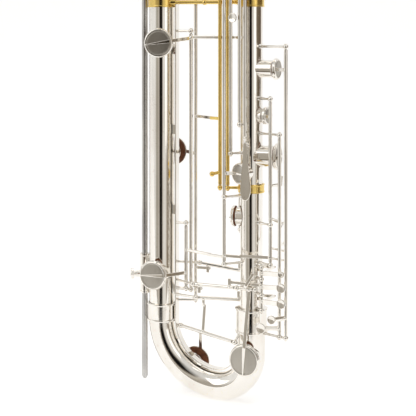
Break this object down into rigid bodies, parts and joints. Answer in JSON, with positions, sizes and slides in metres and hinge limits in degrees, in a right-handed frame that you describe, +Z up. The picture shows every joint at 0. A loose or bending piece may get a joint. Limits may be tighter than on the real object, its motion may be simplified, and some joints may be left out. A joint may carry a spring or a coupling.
{
  "type": "contrabass clarinet",
  "caption": "Folded metal contrabass clarinet: two long tubes on a bottom bow, forward bell, crook with mouthpiece, long-rod keywork and a floor pin.",
  "frame": {"origin": "lowest point of the bottom bow, where a stand's cradle carries the instrument", "axes": "+Z up along the tubes, -Y the front with the keys, +X from the bell tube towards the main tube"},
  "size_m": [0.2859, 0.375, 1.1577],
  "materials": {
    "silver_plate": "bright silver plate",
    "gold_lacquer": "polished gold plate",
    "pin_steel": "satin",
    "pad_leather": "fine tan leather",
    "cork": "sheet cork",
    "cane": "cut reed cane",
    "hard_rubber": "polished ebonite"
  },
  "bodies": {
    "body": {"main_tube": "silver_plate", "bell_tube": "silver_plate", "bottom_bow": "silver_plate", "bow_ring_left": "silver_plate", "bow_ring_right": "silver_plate", "bell_rib": "silver_plate", "gold_collar": "gold_lacquer", "body_brace": "gold_lacquer", "thumb_rest": "silver_plate", "strap_ring": "silver_plate", "bell": "silver_plate", "bell_ring": "silver_plate", "top_bow": "silver_plate", "top_bow_ring": "silver_plate", "neck_socket": "silver_plate", "neck": "silver_plate", "neck_cork": "cork", "mouthpiece": "hard_rubber", "reed": "cane", "ligature": "silver_plate", "endpin_socket": "silver_plate", "endpin_guide": "silver_plate"},
    "low_key_a": {"low_key_a": "silver_plate", "pad_a": "pad_leather"},
    "low_key_b": {"low_key_b": "silver_plate", "pad_b": "pad_leather"},
    "low_key_c": {"low_key_c": "silver_plate", "pad_c": "pad_leather"},
    "low_key_d": {"low_key_d": "silver_plate", "pad_d": "pad_leather"},
    "low_key_e": {"low_key_e": "silver_plate", "pad_e": "pad_leather"},
    "cross_bar_a": {"cross_bar_a": "silver_plate"},
    "cross_bar_b": {"cross_bar_b": "silver_plate"},
    "cross_bar_d": {"cross_bar_d": "silver_plate"},
    "touch_a": {"touch_a": "silver_plate"},
    "touch_b": {"touch_b": "silver_plate"},
    "touch_c": {"touch_c": "silver_plate"},
    "loop_key": {"loop_key": "silver_plate"},
    "link_key_c": {"link_key_c": "silver_plate"},
    "stack_key_h": {"stack_key_h": "silver_plate"},
    "stack_key_i": {"stack_key_i": "silver_plate"},
    "stack_key_j": {"stack_key_j": "silver_plate"},
    "link_key_k": {"link_key_k": "silver_plate"},
    "spatula_key": {"spatula_key": "silver_plate"},
    "gold_key_g": {"gold_key_g": "gold_lacquer"},
    "gold_key_l": {"gold_key_l": "gold_lacquer"},
    "register_key": {"register_key": "silver_plate"},
    "side_key_f": {"side_key_f": "silver_plate", "pad_f": "pad_leather"},
    "side_key_g": {"side_key_g": "silver_plate", "pad_g": "pad_leather"},
    "upper_key_n": {"upper_key_n": "silver_plate"},
    "ring_key": {"ring_key": "silver_plate"},
    "endpin": {"endpin": "pin_steel"},
    "endpin_screw": {"endpin_screw": "silver_plate"},
    "neck_screw": {"neck_screw": "silver_plate"},
    "ligature_screw_1": {"ligature_screw_1": "silver_plate"},
    "ligature_screw_2": {"ligature_screw_2": "silver_plate"}
  },
  "joints": [
    {"name": "low_key_a_hinge", "type": "hinge", "parent": "body", "child": "low_key_a", "pos_m": [-0.0425, 0, 0.148], "axis": [0, 0, 1], "range_deg": [0, 7], "stiffness_Nm_per_rad": 0.12, "springref_deg": -6.88},
    {"name": "low_key_b_hinge", "type": "hinge", "parent": "body", "child": "low_key_b", "pos_m": [-0.0403, 0.012, 0.131], "axis": [0, 0, 1], "range_deg": [0, 9], "stiffness_Nm_per_rad": 0.12, "springref_deg": -6.88},
    {"name": "low_key_c_hinge", "type": "hinge", "parent": "body", "child": "low_key_c", "pos_m": [-0.0484, -0.004, 0.15], "axis": [0, 0, 1], "range_deg": [0, 6], "stiffness_Nm_per_rad": 0.08, "springref_deg": -6.88},
    {"name": "low_key_d_hinge", "type": "hinge", "parent": "body", "child": "low_key_d", "pos_m": [0.0325, -0.026, 0.0882], "axis": [-0.9578, 0.2752, 0.0826], "range_deg": [0, 7], "stiffness_Nm_per_rad": 0.1, "springref_deg": -20.05},
    {"name": "low_key_e_hinge", "type": "hinge", "parent": "body", "child": "low_key_e", "pos_m": [0.061, -0.022, 0.1615], "axis": [-1, 0, 0], "range_deg": [0, 6], "stiffness_Nm_per_rad": 0.08, "springref_deg": -11.46},
    {"name": "cross_bar_a_hinge", "type": "hinge", "parent": "body", "child": "cross_bar_a", "pos_m": [0.034, -0.022, 0.1615], "axis": [-1, 0, 0], "range_deg": [-22, 0]},
    {"name": "cross_bar_b_hinge", "type": "hinge", "parent": "body", "child": "cross_bar_b", "pos_m": [0.0395, 0.022, 0.174], "axis": [-0.9704, -0.19, 0.1493], "range_deg": [-18, 0]},
    {"name": "cross_bar_d_hinge", "type": "hinge", "parent": "body", "child": "cross_bar_d", "pos_m": [0.0395, 0.022, 0.135], "axis": [-0.901, -0.4278, 0.0713], "range_deg": [-23, 0]},
    {"name": "touch_a_hinge", "type": "hinge", "parent": "body", "child": "touch_a", "pos_m": [0.07, -0.022, 0.155], "axis": [0, 0, 1], "range_deg": [0, 2.5]},
    {"name": "touch_b_hinge", "type": "hinge", "parent": "body", "child": "touch_b", "pos_m": [0.07, -0.022, 0.134], "axis": [0, 0, 1], "range_deg": [0, 3.3]},
    {"name": "touch_c_hinge", "type": "hinge", "parent": "body", "child": "touch_c", "pos_m": [0.07, -0.022, 0.176], "axis": [0, 0, 1], "range_deg": [0, 2.2]},
    {"name": "loop_key_hinge", "type": "hinge", "parent": "body", "child": "loop_key", "pos_m": [0.082, -0.02, 0.196], "axis": [0, 0, 1], "range_deg": [0, 6]},
    {"name": "link_key_c_hinge", "type": "hinge", "parent": "body", "child": "link_key_c", "pos_m": [0.0188, -0.03, 0.1945], "axis": [0, 0, 1], "range_deg": [-11, 0]},
    {"name": "stack_key_h_hinge", "type": "hinge", "parent": "body", "child": "stack_key_h", "pos_m": [0.0188, -0.03, 0.286], "axis": [0, 0, 1], "range_deg": [0, 8], "stiffness_Nm_per_rad": 0.08, "springref_deg": -6.88},
    {"name": "stack_key_i_hinge", "type": "hinge", "parent": "body", "child": "stack_key_i", "pos_m": [0.022, 0.024, 0.232], "axis": [0, 0, 1], "range_deg": [-9, 0], "stiffness_Nm_per_rad": 0.05, "springref_deg": 6.88},
    {"name": "stack_key_j_hinge", "type": "hinge", "parent": "body", "child": "stack_key_j", "pos_m": [0.026, -0.024, 0.3448], "axis": [0, 0, 1], "range_deg": [0, 8], "stiffness_Nm_per_rad": 0.08, "springref_deg": -6.88},
    {"name": "link_key_k_hinge", "type": "hinge", "parent": "body", "child": "link_key_k", "pos_m": [0.0393, -0.0244, 0.385], "axis": [0, 0, 1], "range_deg": [-7, 0]},
    {"name": "spatula_key_hinge", "type": "hinge", "parent": "body", "child": "spatula_key", "pos_m": [0.0473, -0.0244, 0.356], "axis": [0, 0, 1], "range_deg": [0, 8], "stiffness_Nm_per_rad": 0.08, "springref_deg": -6.88},
    {"name": "gold_key_g_hinge", "type": "hinge", "parent": "body", "child": "gold_key_g", "pos_m": [0.0067, -0.014, 0.296], "axis": [0, 0, 1], "range_deg": [-19, 0]},
    {"name": "gold_key_l_hinge", "type": "hinge", "parent": "body", "child": "gold_key_l", "pos_m": [0.018, -0.014, 0.296], "axis": [0, 0, 1], "range_deg": [-9, 0], "stiffness_Nm_per_rad": 0.08, "springref_deg": 6.88},
    {"name": "register_key_hinge", "type": "hinge", "parent": "body", "child": "register_key", "pos_m": [0.026, -0.024, 0.764], "axis": [0, 0, 1], "range_deg": [-8, 0], "stiffness_Nm_per_rad": 0.05, "springref_deg": 6.88},
    {"name": "side_key_f_hinge", "type": "hinge", "parent": "body", "child": "side_key_f", "pos_m": [0.095, -0.02, 0.1], "axis": [0, 0, 1], "range_deg": [-8, 0], "stiffness_Nm_per_rad": 0.08, "springref_deg": 6.88},
    {"name": "side_key_g_hinge", "type": "hinge", "parent": "body", "child": "side_key_g", "pos_m": [0.1045, -0.022, 0.1], "axis": [0, 0, 1], "range_deg": [-8, 0], "stiffness_Nm_per_rad": 0.08, "springref_deg": 6.88},
    {"name": "upper_key_n_hinge", "type": "hinge", "parent": "body", "child": "upper_key_n", "pos_m": [0.095, -0.02, 0.634], "axis": [0, 0, 1], "range_deg": [-8, 0], "stiffness_Nm_per_rad": 0.06, "springref_deg": 6.88},
    {"name": "ring_key_hinge", "type": "hinge", "parent": "body", "child": "ring_key", "pos_m": [0.082, -0.02, 0.25], "axis": [0, 0, 1], "range_deg": [-9, 0], "stiffness_Nm_per_rad": 0.06, "springref_deg": 6.88},
    {"name": "endpin_slide", "type": "slide", "parent": "body", "child": "endpin", "axis": [0, 0, -1], "range_m": [0, 0.25]},
    {"name": "endpin_screw_turn", "type": "hinge", "parent": "body", "child": "endpin_screw", "pos_m": [-0.11805, -0.00238, 0.165], "axis": [-0.8619, -0.507, 0], "continuous": true},
    {"name": "neck_screw_turn", "type": "hinge", "parent": "body", "child": "neck_screw", "pos_m": [-0.0253, 0, 0.9413], "axis": [-1, 0, 0], "continuous": true},
    {"name": "ligature_screw_1_turn", "type": "hinge", "parent": "body", "child": "ligature_screw_1", "pos_m": [-0.0125, 0.15916, 0.89493], "axis": [1, 0, 0], "continuous": true},
    {"name": "ligature_screw_2_turn", "type": "hinge", "parent": "body", "child": "ligature_screw_2", "pos_m": [-0.0125, 0.17366, 0.90169], "axis": [1, 0, 0], "continuous": true}
  ],
  "couplings": [
    {"joint": "cross_bar_a_hinge", "follows": "low_key_a_hinge", "ratio": -3},
    {"joint": "touch_a_hinge", "follows": "low_key_a_hinge", "ratio": 0.34},
    {"joint": "link_key_k_hinge", "follows": "low_key_a_hinge", "ratio": -0.93},
    {"joint": "cross_bar_b_hinge", "follows": "low_key_b_hinge", "ratio": -2},
    {"joint": "touch_c_hinge", "follows": "low_key_b_hinge", "ratio": 0.24},
    {"joint": "gold_key_g_hinge", "follows": "low_key_b_hinge", "ratio": -2},
    {"joint": "link_key_c_hinge", "follows": "low_key_c_hinge", "ratio": -1.7},
    {"joint": "loop_key_hinge", "follows": "low_key_c_hinge", "ratio": 0.92},
    {"joint": "cross_bar_d_hinge", "follows": "low_key_d_hinge", "ratio": -3.2},
    {"joint": "touch_b_hinge", "follows": "low_key_d_hinge", "ratio": 0.46}
  ]
}
